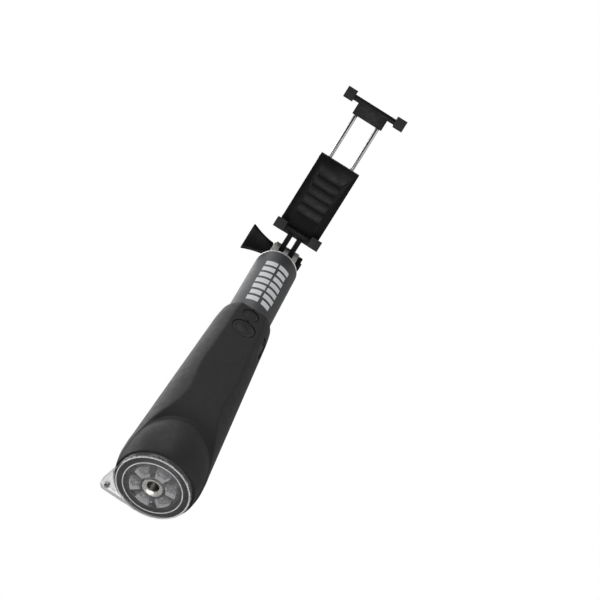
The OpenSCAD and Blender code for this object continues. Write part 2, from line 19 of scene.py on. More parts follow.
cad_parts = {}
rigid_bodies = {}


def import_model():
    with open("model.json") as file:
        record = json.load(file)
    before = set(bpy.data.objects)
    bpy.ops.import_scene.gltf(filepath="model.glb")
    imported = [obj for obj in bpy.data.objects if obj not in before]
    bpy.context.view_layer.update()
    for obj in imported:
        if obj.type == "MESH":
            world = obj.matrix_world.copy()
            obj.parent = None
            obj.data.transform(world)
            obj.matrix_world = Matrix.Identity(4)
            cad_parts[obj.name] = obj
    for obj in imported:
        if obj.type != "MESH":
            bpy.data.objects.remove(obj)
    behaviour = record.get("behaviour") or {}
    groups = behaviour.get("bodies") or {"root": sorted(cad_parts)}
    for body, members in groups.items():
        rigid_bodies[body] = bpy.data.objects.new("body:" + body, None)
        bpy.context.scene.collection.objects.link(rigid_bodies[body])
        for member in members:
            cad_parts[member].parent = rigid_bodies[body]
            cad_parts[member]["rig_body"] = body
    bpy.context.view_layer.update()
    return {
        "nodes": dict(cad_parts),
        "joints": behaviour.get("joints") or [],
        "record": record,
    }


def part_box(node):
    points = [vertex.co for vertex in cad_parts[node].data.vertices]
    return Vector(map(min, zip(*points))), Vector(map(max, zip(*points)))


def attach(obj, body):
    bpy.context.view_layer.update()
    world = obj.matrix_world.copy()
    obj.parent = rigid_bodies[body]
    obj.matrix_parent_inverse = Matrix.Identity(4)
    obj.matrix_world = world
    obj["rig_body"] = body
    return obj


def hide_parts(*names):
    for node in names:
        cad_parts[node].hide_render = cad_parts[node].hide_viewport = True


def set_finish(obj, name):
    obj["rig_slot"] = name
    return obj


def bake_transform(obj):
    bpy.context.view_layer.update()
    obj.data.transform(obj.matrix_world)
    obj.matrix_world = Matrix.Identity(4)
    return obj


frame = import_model()

MM = 0.001
# Points closer than this are merged, in metres: in a mesh made here, and in a copied CAD mesh.
MERGE = 2e-7
CAD_MERGE = 2e-6
# Edges sharper than this stay crisp, and faces that meet flatter than this become one, in degrees.
SHARP_DEG = 38.0
FLAT_DEG = 0.6
LOG = logging.getLogger("selfie_stick")

Piece = bpy.types.Object
Material = bpy.types.Material
Socket = bpy.types.NodeSocket
Colour = tuple[float, float, float]
Triple = tuple[float, float, float]
Pair = tuple[float, float]
Profile = Sequence[Pair]


# ---------- frames of reference ----------

def joint(name: str) -> dict:
    """Returns the record's entry for one joint."""
    return next(j for j in frame["joints"] if j["name"] == name)


def box_mm(node: str) -> tuple[Vector, Vector]:
    """Returns a CAD node's lowest and highest corners, in millimetres."""
    low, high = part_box(node)
    return low / MM, high / MM


def place(origin: Sequence[float], turn: Matrix) -> Matrix:
    """Returns the matrix that turns a shape and then puts it at an origin."""
    return Matrix.Translation(Vector(origin)) @ turn


def on_panel(drop: float) -> Matrix:
    """Returns the matrix that stands a lathe on the button panel, with its +Z out of the grip.

    Args:
        drop: Distance down the panel from its top edge.

    Returns:
        The matrix from the lathe's frame to the row frame.
    """
    return PANEL @ Matrix.Translation((0, 0, -drop)) @ Matrix.Rotation(math.radians(90), 4, "X")


TUBE_LOW, TUBE_HIGH = box_mm("outer_tube")
TUBE_R, TUBE_TOP = TUBE_HIGH.x, TUBE_HIGH.z
GRIP_TOP = box_mm("grip_sleeve")[1].z
PANEL_TILT = 3.0
PANEL = place((0, -TUBE_R, GRIP_TOP), Matrix.Rotation(math.radians(-PANEL_TILT), 4, "X"))
TILT_AXIS = Vector(joint("tilt")["pos_m"]) / MM


# ---------- mesh tools ----------

def linked(name: str, data: bpy.types.Mesh) -> Piece:
    """Makes an object of a mesh and links it to the scene."""
    piece = bpy.data.objects.new(name, data)
    bpy.context.scene.collection.objects.link(piece)
    return piece


def add_piece(name: str, verts: Sequence, faces: Sequence, where: Matrix = Matrix.Identity(4)) -> Piece:
    """Makes a mesh object at the origin.

    Args:
        name: The piece's name.
        verts: Points in millimetres, in the shape's own frame.
        faces: Corner lists.
        where: The matrix from the shape's frame to the row frame, in millimetres.

    Returns:
        The linked object.
    """
    mesh = bpy.data.meshes.new(name)
    mesh.from_pydata([(where @ Vector(v)) * MM for v in verts], [], faces)
    mesh.validate()
    return linked(name, mesh)


def shade_edges(piece: Piece, sharp_deg: float = SHARP_DEG) -> Piece:
    """Shades a piece smooth but for its sharp edges, and returns it."""
    piece.data.shade_smooth()
    piece.data.set_sharp_from_angle(angle=math.radians(sharp_deg))
    return piece


def tidy_mesh(piece: Piece, sharp_deg: float = SHARP_DEG, merge: float = MERGE,
              flat_deg: float = 0.0) -> Piece:
    """Merges doubles, turns faces outwards and shades smooth below an angle.

    Args:
        piece: The mesh object.
        sharp_deg: Edges sharper than this stay crisp.
        merge: Points closer than this become one, in metres.
        flat_deg: Faces that meet flatter than this become one; 0 leaves them.

    Returns:
        The same object.
    """
    bm = bmesh.new()
    bm.from_mesh(piece.data)
    bmesh.ops.remove_doubles(bm, verts=bm.verts, dist=merge)
    if flat_deg:
        bmesh.ops.dissolve_limit(bm, angle_limit=math.radians(flat_deg), verts=bm.verts, edges=bm.edges)
    bmesh.ops.recalc_face_normals(bm, faces=bm.faces)
    bm.to_mesh(piece.data)
    bm.free()
    return shade_edges(piece, sharp_deg)


def full_turn(count: int) -> np.ndarray:
    """Returns evenly spaced angles round a full turn, in radians."""
    return np.linspace(0, 2 * math.pi, count, endpoint=False)


def ring_at(radius: np.ndarray | float, angle: np.ndarray, z: float) -> np.ndarray:
    """Returns a ring of points about Z at one height."""
    return np.stack([radius * np.cos(angle), radius * np.sin(angle), np.full_like(angle, z)], -1)


def ring_faces(rows: int, columns: int, closed: bool = False) -> list[tuple[int, ...]]:
    """Returns the quads between rows of closed rings, and from the last row to the first if closed."""
    steps = [(i, i + 1) for i in range(rows - 1)] + ([(rows - 1, 0)] if closed else [])
    return [
        (i * columns + k, i * columns + (k + 1) % columns, j * columns + (k + 1) % columns, j * columns + k)
        for i, j in steps for k in range(columns)
    ]


def loft(name: str, rings: np.ndarray, where: Matrix = Matrix.Identity(4), closed: bool = False) -> Piece:
    """Skins a stack of rings into a closed solid.

    Args:
        name: The piece's name.
        rings: Points, shaped rows by columns by 3.
        where: The matrix from the shape's frame to the row frame.
        closed: Joins the last ring back to the first instead of capping both ends.

    Returns:
        The piece.
    """
    rows, columns = rings.shape[:2]
    faces = ring_faces(rows, columns, closed)
    if not closed:
        faces += [tuple(range(columns))[::-1], tuple((rows - 1) * columns + k for k in range(columns))]
    return tidy_mesh(add_piece(name, [tuple(p) for p in rings.reshape(-1, 3)], faces, where))


def lathe(name: str, profile: Profile, where: Matrix = Matrix.Identity(4), segments: int = 96) -> Piece:
    """Turns a profile about Z into a closed solid.

    Args:
        name: The piece's name.
        profile: Points of (radius, height); a radius of 0 at both ends closes it on the axis, and
            otherwise the profile is a closed loop.
        where: The matrix from the lathe's frame to the row frame.
        segments: Sides round the axis.

    Returns:
        The piece.
    """
    solid = profile[0][0] <= 0 and profile[-1][0] <= 0
    inner = profile[1:-1] if solid else profile
    rings = np.array([[(r * math.cos(a), r * math.sin(a), z) for a in full_turn(segments)] for r, z in inner])
    verts = [tuple(p) for p in rings.reshape(-1, 3)]
    faces = ring_faces(len(inner), segments, not solid)
    if solid:
        low, high, last = len(verts), len(verts) + 1, (len(inner) - 1) * segments
        verts += [(0, 0, profile[0][1]), (0, 0, profile[-1][1])]
        faces += [(low, (k + 1) % segments, k) for k in range(segments)]
        faces += [(high, last + k, last + (k + 1) % segments) for k in range(segments)]
    return tidy_mesh(add_piece(name, verts, faces, where))


def finish_modifiers(piece: Piece) -> Piece:
    """Turns a piece and its modifiers into a plain mesh and returns the piece."""
    graph = bpy.context.evaluated_depsgraph_get()
    mesh = bpy.data.meshes.new_from_object(piece.evaluated_get(graph))
    piece.modifiers.clear()
    piece.data = mesh
    return piece


def carve(piece: Piece, cutters: Sequence[Piece]) -> Piece:
    """Cuts solids out of a piece and deletes them.

    Args:
        piece: What is cut.
        cutters: Closed solids.

    Returns:
        The piece, as a plain mesh.
    """
    for cutter in cutters:
        step = piece.modifiers.new("carve", "BOOLEAN")
        step.operation = "DIFFERENCE"
        step.solver = "MANIFOLD"
        step.object = cutter
    finish_modifiers(piece)
    for cutter in cutters:
        bpy.data.objects.remove(cutter)
    return piece


def softened(node: str, width: float, segments: int = 3, name: Optional[str] = None) -> Piece:
    """Copies a CAD node with rounded edges, to stand for it.

    Args:
        node: The CAD node's name.
        width: Width of the rounding, in millimetres.
        segments: Steps across the rounding.
        name: The piece's name, or None for the node's name with _body.

    Returns:
        The piece, riding on the node's body and replacing it.
    """
    source = frame["nodes"][node]
    piece = linked(name or f"{node}_body", source.data.copy())
    piece.data.materials.clear()
    tidy_mesh(piece, merge=CAD_MERGE, flat_deg=FLAT_DEG)
    step = piece.modifiers.new("round", "BEVEL")
    step.width = width * MM
    step.segments = segments
    step.limit_method = "ANGLE"
    step.angle_limit = math.radians(SHARP_DEG)
    step.use_clamp_overlap = True
    step.miter_outer = "MITER_ARC"
    return stand_for(shade_edges(finish_modifiers(piece)), source["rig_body"], node)


def stand_for(piece: Piece, body: str, node: str) -> Piece:
    """Makes a piece ride on a body in place of a CAD node.

    Args:
        piece: The finished piece.
        body: The CAD body's name.
        node: The CAD node it replaces.

    Returns:
        The piece.
    """
    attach(piece, body)
    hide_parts(node)
    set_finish(piece, SLOT_OF[node])
    return piece


def ease(points: Profile, at: np.ndarray) -> np.ndarray:
    """Draws a smooth curve through points of (value, position).

    Args:
        points: The points, in rising position.
        at: Positions to read.

    Returns:
        The curve's values there.
    """
    value = np.array([p[0] for p in points], float)
    spot = np.array([p[1] for p in points], float)
    slope = np.gradient(value, spot)
    i = np.clip(np.searchsorted(spot, at) - 1, 0, len(spot) - 2)
    gap = spot[i + 1] - spot[i]
    t = np.clip((at - spot[i]) / gap, 0, 1)
    return ((2 * t**3 - 3 * t**2 + 1) * value[i] + (t**3 - 2 * t**2 + t) * gap * slope[i]
            + (-2 * t**3 + 3 * t**2) * value[i + 1] + (t**3 - t**2) * gap * slope[i + 1])


def soft_min(a: np.ndarray, b: np.ndarray, blend: float) -> np.ndarray:
    """Returns the smaller of two fields, with the crease between them rounded."""
    h = np.clip(0.5 + 0.5 * (b - a) / blend, 0, 1)
    return b * (1 - h) + a * h - blend * h * (1 - h)


def arc_points(centre: Pair, radius: float, start_deg: float, end_deg: float,
               steps: int = 5) -> list[Pair]:
    """Returns points along an arc of a profile."""
    return [
        (centre[0] + radius * math.cos(math.radians(a)), centre[1] + radius * math.sin(math.radians(a)))
        for a in np.linspace(start_deg, end_deg, steps)
    ]


# ---------- node trees ----------

class Wiring:
    """A node tree that nodes are added to."""

    def __init__(self, tree: bpy.types.NodeTree) -> None:
        """Starts with the tree given."""
        self.tree = tree

    def feed(self, target: Socket, value: object) -> None:
        """Links a socket to an input, or sets a value on it."""
        if isinstance(value, Socket):
            self.tree.links.new(value, target)
        else:
            target.default_value = value

    def add(self, kind: str, inputs: Optional[dict] = None, **settings: object) -> bpy.types.Node:
        """Adds a node.

        Args:
            kind: The node's type.
            inputs: Sockets or values, by the name or number of the input they go to.
            **settings: The node's own settings.

        Returns:
            The node.
        """
        node = self.tree.nodes.new(kind)
        for key, value in settings.items():
            setattr(node, key, value)
        for key, value in (inputs or {}).items():
            self.feed(node.inputs[key], value)
        return node

    def call(self, kind: str, output: str | int, inputs: Optional[dict] = None, **settings: object) -> Socket:
        """Adds a node as add does, and returns one of its outputs."""
        return self.add(kind, inputs, **settings).outputs[output]


# ---------- finishes ----------

# Stretch of a metal's pattern: none, and drawn out along the stick.
EVEN: Triple = (1, 1, 1)
ALONG: Triple = (1, 1, 0.03)


class Painter(Wiring):
    """Wires one node material round a Principled shader, on Object coordinates in millimetres."""

    def __init__(self, name: str) -> None:
        """Starts a material with the name given."""
        self.material = bpy.data.materials.new(name)
        self.material.use_nodes = True
        super().__init__(self.material.node_tree)
        self.shader = self.tree.nodes["Principled BSDF"]
        self.coords = self.call("ShaderNodeTexCoord", "Object")

    def set(self, **values: object) -> None:
        """Feeds the shader's own sockets; an underscore in a name stands for a space."""
        for key, value in values.items():
            self.feed(self.shader.inputs[key.replace("_", " ")], value)

    def noise(self, feature: float, detail: float, stretch: Triple = EVEN) -> Socket:
        """Adds a noise pattern.

        Args:
            feature: Size of a feature, in millimetres.
            detail: Octaves of finer noise.
            stretch: Scale along each axis; below 1 draws features out.

        Returns:
            The pattern's factor socket.
        """
        scale = [s / (feature * MM) for s in stretch]
        spot = self.call("ShaderNodeMapping", "Vector", {"Vector": self.coords, "Scale": scale})
        return self.call("ShaderNodeTexNoise", "Fac", {"Vector": spot, "Scale": 1.0, "Detail": detail})

    def spread(self, factor: Socket, low: float, high: float) -> Socket:
        """Maps the middle part of a pattern between two values and returns the mapped socket."""
        return self.call("ShaderNodeMapRange", "Result", {
            "Value": factor, "From Min": 0.3, "From Max": 0.7, "To Min": low, "To Max": high})

    def wear(self, first: Colour, second: Colour, cloud: Pair, levels: Pair, rubbed: Pair) -> None:
        """Varies the colour and the roughness over the surface.

        Args:
            first: One end of the colour's range.
            second: Its other end.
            cloud: Feature size and detail of the colour's pattern.
            levels: The least and the greatest roughness.
            rubbed: Feature size and detail of the roughness's pattern.
        """
        share = self.spread(self.noise(*cloud), 0, 1)
        self.set(Base_Color=self.call("ShaderNodeMix", 2, {0: share, 6: (*first, 1), 7: (*second, 1)},
                                      data_type="RGBA"),
                 Roughness=self.spread(self.noise(*rubbed), *levels))

    def bump(self, height: Socket, depth: float, strength: float) -> None:
        """Feeds the shader's normal.

        Args:
            height: Height pattern.
            depth: Depth of the pattern, in millimetres.
            strength: Share of the bump that shows.
        """
        self.set(Normal=self.call("ShaderNodeBump", "Normal", {
            "Strength": strength, "Distance": depth * MM, "Height": height}))


def shade(colour: Colour, factor: float) -> Colour:
    """Returns a colour made lighter or darker by a factor."""
    return tuple(min(1.0, c * factor) for c in colour)


@dataclass(frozen=True)
class Moulded:
    """Moulded plastic or rubber with a fine spark-eroded grain."""

    colour: Colour
    roughness: float = 0.5
    grain: float = 0.25
    depth: float = 0.02
    mottle: float = 0.12
    specular: float = 0.5
    # Feature size and detail of the cloudy and of the rubbed patches, and the rubbing's change of roughness.
    cloud: Pair = (14, 2)
    rubbed: Pair = (3.5, 3)
    change: Pair = (-0.05, 0.06)

    def make(self, name: str) -> Material:
        """Builds the material."""
        p = Painter(name)
        p.wear(shade(self.colour, 1 - self.mottle), shade(self.colour, 1 + self.mottle), self.cloud,
               tuple(self.roughness + step for step in self.change), self.rubbed)
        p.bump(p.noise(self.grain, 2), self.depth, 0.6)
        p.set(Specular_IOR_Level=self.specular)
        return p.material


@dataclass(frozen=True)
class Drawn:
    """Metal with fine lines or grain and faint handling marks."""

    colour: Colour
    roughness: float = 0.25
    lines: float = 0.12
    depth: float = 0.003
    stretch: Triple = EVEN
    metallic: float = 1.0
    # Feature size and detail of the cloudy and of the handled patches, and the handling's change of roughness.
    cloud: Pair = (9, 3)
    handled: Pair = (2.5, 4)
    change: Pair = (-0.04, 0.05)

    def make(self, name: str) -> Material:
        """Builds the material."""
        p = Painter(name)
        p.wear(shade(self.colour, 0.95), shade(self.colour, 1.05), self.cloud,
               tuple(self.roughness + step for step in self.change), self.handled)
        p.bump(p.noise(self.lines, 2, self.stretch), self.depth, 0.5)
        p.set(Metallic=self.metallic)
        return p.material


@dataclass(frozen=True)
class Clear:
    """Clear moulded plastic with faint flow haze; its index of refraction is an acrylic's."""

    colour: Colour
    roughness: float
    haze: float = 0.1
    cover: float = 0.62
    ior: float = 1.49
    # Feature size and detail of the cloudy patches, the smears and the flow lines.
    cloud: Pair = (8, 2)
    smear: Pair = (2.2, 3)
    flow: Pair = (5, 1)
    # Shares of the roughness on a clean spot and on a smear.
    change: Pair = (0.5, 1.8)

    def make(self, name: str) -> Material:
        """Builds the material."""
        p = Painter(name)
        p.wear(shade(self.colour, 0.98), self.colour, self.cloud,
               tuple(self.roughness * share for share in self.change), self.smear)
        p.bump(p.noise(*self.flow), 0.02, 0.35)
        p.set(Transmission_Weight=1 - self.haze, IOR=self.ior, Alpha=self.cover)
        return p.material


class Finish(Enum):
    """The finish of each of the record's material slots."""

    clear_cap = Clear((0.97, 0.975, 0.98), 0.03)
    nickel = Drawn((0.82, 0.81, 0.78), 0.26, 0.5, 0.004, EVEN, 0.45)
    seal_rubber = Moulded((0.012, 0.012, 0.013), 0.45)
    core_plastic = Moulded((0.075, 0.070, 0.085), 0.5, 0.4, 0.01)
    grip_rubber = Moulded((0.0125, 0.0125, 0.0128), 0.55, 0.22, 0.018, 0.10, 0.42)
    board = Moulded((0.01, 0.10, 0.045), 0.3, 0.6, 0.02, 0.3)
    contact_metal = Drawn((0.7, 0.69, 0.66), 0.3, 0.4, 0.004)
    cell_wrap = Drawn((0.62, 0.63, 0.66), 0.34, 1.5, 0.02)
    lead_red = Moulded((0.45, 0.02, 0.02), 0.35, 0.5, 0.01)
    button_plastic = Moulded((0.0145, 0.0145, 0.0155), 0.48, 0.2, 0.01, 0.08, 0.45)
    lens = Moulded((0.001, 0.001, 0.001), 0.5, 0.4, 0.002, 0.12, 0.05)
    gunmetal = Drawn((0.122, 0.124, 0.129), 0.5, 0.10, 0.0025, ALONG)
    tube_metal = Drawn((0.66, 0.67, 0.69), 0.3, 0.10, 0.0025, ALONG)
    lock_plastic = Moulded((0.62, 0.61, 0.57), 0.4, 0.4, 0.01)
    black_plastic = Moulded((0.0045, 0.0045, 0.005), 0.42, 0.2, 0.012, 0.08, 0.25)
    screw_steel = Drawn((0.55, 0.55, 0.56), 0.3, 0.3, 0.004)
    spring_steel = Drawn((0.6, 0.6, 0.61), 0.18, 0.2, 0.002)
    brass = Drawn((0.68, 0.52, 0.24), 0.28, 0.3, 0.004)
    pad_rubber = Moulded((0.026, 0.026, 0.028), 0.6, 0.25, 0.02, 0.1, 0.4)

    @property
    def material(self) -> Material:
        """The finish's one material, made when first asked for."""
        name = f"{self.name}_finish"
        return bpy.data.materials.get(name) or self.value.make(name)


FROSTED = Clear((0.92, 0.93, 0.95), 0.25, 0.3, 0.72)
# Painted highlights: a near-white hazy plastic laid on the cap's ring grooves and pocket walls in place of glints.
PAINTED_GLINT = Clear((1.0, 1.0, 1.0), 0.3, 0.85, 0.95)
# Painted shade: a dark hazy plastic laid on the wall of the cap's lanyard hole.
PAINTED_HOLE_SHADE = Clear((0.10, 0.10, 0.11), 0.3, 0.7, 0.9)
# Painted shade: a darker metal laid inside the insert's threaded bore.
PAINTED_BORE_SHADE = Drawn((0.20, 0.19, 0.17), 0.28, 0.4, 0.004)
PRINT_WHITE = Moulded((0.80, 0.81, 0.83), 0.38, 0.15, 0.006, 0.03)
SLOT_OF: dict[str, str] = {s["node"]: s["material_slot"] for s in frame["record"]["subparts"]}


def dress(piece: Piece, material: Material) -> Piece:
    """Gives a piece one material and returns the piece."""
    piece.data.materials.clear()
    piece.data.materials.append(material)
    LOG.info("%s: %d faces, %s", piece.name, len(piece.data.polygons), material.name)
    return piece


def dressed(piece: Piece) -> Piece:
    """Gives a piece the finish of its own slot and returns the piece."""
    return dress(piece, Finish[piece["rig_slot"]].material)


# ---------- geometry nodes ----------

class NodeTree(Wiring):
    """A Geometry Nodes tree that makes one piece."""

    def __init__(self, name: str) -> None:
        """Starts a tree with the piece's name."""
        super().__init__(bpy.data.node_groups.new(f"{name}_maker", "GeometryNodeTree"))
        self.name = name
        self.tree.interface.new_socket("Geometry", in_out="OUTPUT", socket_type="NodeSocketGeometry")
        self.start, self.end = self.add("NodeGroupInput"), self.add("NodeGroupOutput")
        self.values: dict[str, object] = {}

    def _input(self, label: str, kind: str, value: object) -> Socket:
        """Adds a named input and returns its socket."""
        item = self.tree.interface.new_socket(label, in_out="INPUT", socket_type=kind)
        self.values[item.identifier] = value
        return next(s for s in self.start.outputs if s.identifier == item.identifier)

    def number(self, label: str, value: float) -> Socket:
        """Adds a named number."""
        return self._input(label, "NodeSocketFloat", float(value))

    def whole(self, label: str, value: int) -> Socket:
        """Adds a named whole number."""
        return self._input(label, "NodeSocketInt", int(value))

    def math(self, operation: str, first: object, second: object = 0.0) -> Socket:
        """Adds a Math node of two sockets or numbers and returns its result."""
        return self.call("ShaderNodeMath", 0, {0: first, 1: second}, operation=operation)

    def vector(self, x: object = 0.0, y: object = 0.0, z: object = 0.0) -> Socket:
        """Adds a vector made of three sockets or numbers."""
        return self.call("ShaderNodeCombineXYZ", 0, {"X": x, "Y": y, "Z": z})

    def grow(self, geometry: Socket, material: Material) -> Piece:
        """Runs the tree and keeps its result as a plain mesh.

        Args:
            geometry: The tree's last geometry socket.
            material: The finish of the result.

        Returns:
            The piece.
        """
        real = self.call("GeometryNodeRealizeInstances", 0, {"Geometry": geometry})
        painted = self.call("GeometryNodeSetMaterial", 0, {"Geometry": real, "Material": material})
        self.feed(self.end.inputs["Geometry"], painted)
        piece = linked(self.name, bpy.data.meshes.new(self.name))
        step = piece.modifiers.new("grow", "NODES")
        step.node_group = self.tree
        for identifier, value in self.values.items():
            step[identifier] = value
        return dress(tidy_mesh(finish_modifiers(piece)), material)


def ring_of_ribs(name: str, radius: float, count: int, rib: Triple, height: float) -> Piece:
    """Makes upright ribs round a circle with Geometry Nodes.

    Args:
        name: The piece's name.
        radius: Radius of the circle that the ribs' middles stand on.
        count: How many ribs.
        rib: One rib's size outwards, round and up.
        height: Height of the ribs' middles.

    Returns:
        The ribs as one plain mesh.
    """
    tree = NodeTree(name)
    circle = tree.call("GeometryNodeMeshCircle", "Mesh", {
        "Vertices": tree.whole("Count", count), "Radius": tree.number("Radius", radius * MM)})
    block = tree.call("GeometryNodeMeshCube", "Mesh", {"Size": [size * MM for size in rib]})
    facing = tree.call("FunctionNodeAlignRotationToVector", "Rotation",
                       {"Vector": tree.call("GeometryNodeInputPosition", 0)}, axis="X")
    stood = tree.call("GeometryNodeInstanceOnPoints", "Instances", {
        "Points": circle, "Instance": block, "Rotation": facing})
    real = tree.call("GeometryNodeRealizeInstances", 0, {"Geometry": stood})
    raised = tree.vector(z=tree.number("Height", height * MM))
    moved = tree.call("GeometryNodeSetPosition", 0, {"Geometry": real, "Offset": raised})
    return tree.grow(moved, Finish.nickel.material)


# ---------- grip ----------

@dataclass
class Grip:
    """Rubber sleeve: a tapered round body with a pinched front panel over a round heel."""

    largest_r: float = 20.3
    base: float = 3.0
    belly: float = 14.0
    shoulder: float = 123.0
    taper: float = 0.0452
    base_in: float = 1.3
    top_in: float = 0.5
    heel_top: float = 41.0
    heel_in: float = 0.3
    # How much of the heel's dome is gone at its top.
    heel_dome: float = 0.9
    wall: float = 1.45
    edge: float = 0.3
    edge_steps: int = 5
    crease: float = 0.35
    heel_crease: float = 0.9
    margin: float = 0.02
    columns: int = 256
    row_gap: float = 0.55
    last_gap: float = 0.2
    inner_rows: int = 60
    sharp_deg: float = 30.0
    # Distance of the pinched front from the axis, with its height.
    front: Profile = ((0.5, 2.4), (2.5, 5.5), (5.8, 11), (8.2, 17), (10.9, 26), (13.1, 31.5), (15, 38),
                      (16, 45), (16.1, 52), (15.4, 62), (14.5, 71), (14, 80), (13.75, 95), (13.33, 112),
                      (12.45, 133.6), (12.4, 137))

    def side(self, z: np.ndarray) -> np.ndarray:
        """Returns the round body's radius at each height."""
        under = np.clip(self.belly - z, 0, None) / (self.belly - self.base)
        rise = np.clip(z - self.belly, 0, None) * self.taper
        over = np.clip((z - self.shoulder) / (GRIP_TOP - self.shoulder), 0, None)
        return self.largest_r - self.base_in * under**2 - rise - self.top_in * over**2

    def heel(self, z: np.ndarray) -> np.ndarray:
        """Returns the heel's radius at each height, and nothing above it."""
        share = np.clip((z - self.belly) / (self.heel_top - self.belly), 0, 1)
        dome = np.sqrt(1 - self.heel_dome * share**2)
        return (self.side(np.minimum(z, self.belly)) - self.heel_in) * dome * (share < 1)

    def radius(self, angle: np.ndarray, z: np.ndarray, inset: float = 0.0) -> np.ndarray:
        """Returns the sleeve's radius.

        Args:
            angle: Directions round the stick from +X, in radians.
            z: Heights.
            inset: How far inside the outer skin to measure.

        Returns:
            One radius for each pair.
        """
        forward = np.clip(-np.sin(angle), 0.02, None)
        flat = np.clip(ease(self.front, z) - inset, 0.5, None) / forward
        body = soft_min(self.side(z) - inset, flat, self.crease)
        full = -soft_min(-body, -(self.heel(z) - inset), self.heel_crease)
        return np.minimum(full, self.largest_r - self.margin - inset)

    def skin(self) -> Piece:
        """Lofts the sleeve as one closed wall, without its openings."""
        angle = full_turn(self.columns)
        quarter = np.linspace(0, math.pi / 2, self.edge_steps)
        rounding, rise = self.edge * (1 - np.sin(quarter)), self.edge * (1 - np.cos(quarter))
        middle = np.arange(self.base + self.edge + self.row_gap, GRIP_TOP - self.edge - self.last_gap, self.row_gap)
        rows = [(self.base + dz, 0.0, inset) for dz, inset in zip(rise, rounding)]
        rows += [(z, 0.0, 0.0) for z in middle]
        rows += [(GRIP_TOP - dz, 0.0, inset) for dz, inset in zip(rise[::-1], rounding[::-1])]
        rows += [(z, self.wall, 0.0) for z in np.linspace(GRIP_TOP, self.base, self.inner_rows)]
        rings = [ring_at(self.radius(angle, np.full_like(angle, z), wall) - inset, angle, z)
                 for z, wall, inset in rows]
        return loft("rubber_sleeve", np.array(rings), closed=True)

    def build(self, buttons: "Buttons", port: "Port") -> None:
        """Makes the sleeve with its button wells, pin holes and port opening."""
        sleeve = carve(self.skin(), buttons.wells() + port.openings())
        tidy_mesh(sleeve, self.sharp_deg)
        dressed(stand_for(sleeve, "handle", "grip_sleeve"))


@dataclass
class Button:
    """One round push button and its place down the panel."""

    name: str
    node: str
    body: str
    radius: float
    drop: float
    proud: float
    gap: float = 0.42
    dish: float = 0.3
    lip: float = 0.14
    # Heights under and over the panel that the well's cutter spans.
    cut: float = 4.0
    # Radii of the rim's inner edge and of the crown, as shares of the button's.
    rim_share: float = 0.80
    crown_share: float = 0.56
    rim_round: float = 0.3
    inner_round: float = 0.15
    crown_round: float = 0.16
    crown_rise: float = 0.2
    crown_foot: float = 0.35
    # The flange that keeps the button in: its inner edge, its reach past the button, its underside and its top.
    flange: tuple[float, ...] = (-0.8, 0.45, -1.15, -0.9)
    floor_z: float = -0.5

    def well(self) -> Piece:
        """Makes the solid that cuts the button's well, with a soft lip."""
        r, lip, cut = self.radius + self.gap, self.lip, self.cut
        outline = [(0, -cut), (r, -cut), (r, -lip)] + arc_points((r + lip, -lip), lip, 180, 90)
        return lathe(f"{self.name}_well", outline + [(r + lip, cut), (0, cut)], on_panel(self.drop))

    def build(self) -> None:
        """Makes the button: a rounded rim round a dish with a low crown."""
        r, top, low = self.radius, self.proud, self.proud - self.dish
        rim_in, crown = r * self.rim_share, r * self.crown_share
        inner, outer, under, over = self.flange
        outline = [(0, self.floor_z), (r + inner, self.floor_z), (r + inner, under), (r + outer, under),
                   (r + outer, over), (r, over)]
        outline += arc_points((r - self.rim_round, top - self.rim_round), self.rim_round, 0, 90)
        outline += arc_points((rim_in, top - self.inner_round), self.inner_round, 90, 180, 4)
        outline += [(rim_in - 2 * self.inner_round, low), (crown + self.crown_foot, low)]
        outline += arc_points((crown, low), self.crown_round, 0, 90, 4)
        outline += [(0, low + self.crown_rise)]
        cap = lathe(f"{self.name}_cap", outline, on_panel(self.drop), 128)
        dressed(stand_for(cap, self.body, self.node))

    def mark(self, radius: float, start_deg: float, end_deg: float, width: float = 0.42) -> None:
        """Adds a raised arc on the button's crown.

        Args:
            radius: Radius of the arc.
            start_deg: Where it starts, from the panel's right.
            end_deg: Where it ends.
            width: Width of the raised line.
        """
        half, foot, side, top = width / 2, -0.2, 0.14, 0.24
        section = [(-half, foot), (half, foot), (half, side), (half / 2, top), (-half / 2, top), (-half, side)]
        level = self.proud - self.dish + 0.15
        rings = np.array([[((radius + a) * math.cos(t), (radius + a) * math.sin(t), level + h)
                           for a, h in section] for t in np.radians(np.linspace(start_deg, end_deg, 24))])
        arc = loft(f"{self.name}_mark_{int(radius * 10)}", rings, on_panel(self.drop))
        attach(arc, self.body)
        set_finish(arc, SLOT_OF[self.node])
        dressed(arc)


@dataclass
class Buttons:
    """The two push buttons and the two light pin holes."""

    power: Button = field(default_factory=lambda: Button("power", "power_button", "power_key", 4.2, 6.1, -0.25))
    shutter: Button = field(
        default_factory=lambda: Button("shutter", "shutter_button", "shutter_key", 6.2, 19.2, -0.25))
    pin_drops: Pair = (0.5, 11.8)
    pin_r: float = 0.62
    pin_cut: float = 4.0

    def wells(self) -> list[Piece]:
        """Makes the solids that cut the sleeve for the buttons and light guides."""
        outline = [(0, -self.pin_cut), (self.pin_r, -self.pin_cut), (self.pin_r, self.pin_cut), (0, self.pin_cut)]
        pins = [lathe("pin", outline, on_panel(drop), 24) for drop in self.pin_drops]
        return [self.power.well(), self.shutter.well()] + pins

    def build(self) -> None:
        """Makes both buttons and their raised marks."""
        self.power.build()
        self.power.mark(1.3, 125, 415)
        self.shutter.build()
        self.shutter.mark(2.5, 5, 120)
        dressed(softened("status_lenses", 0.08, 2))


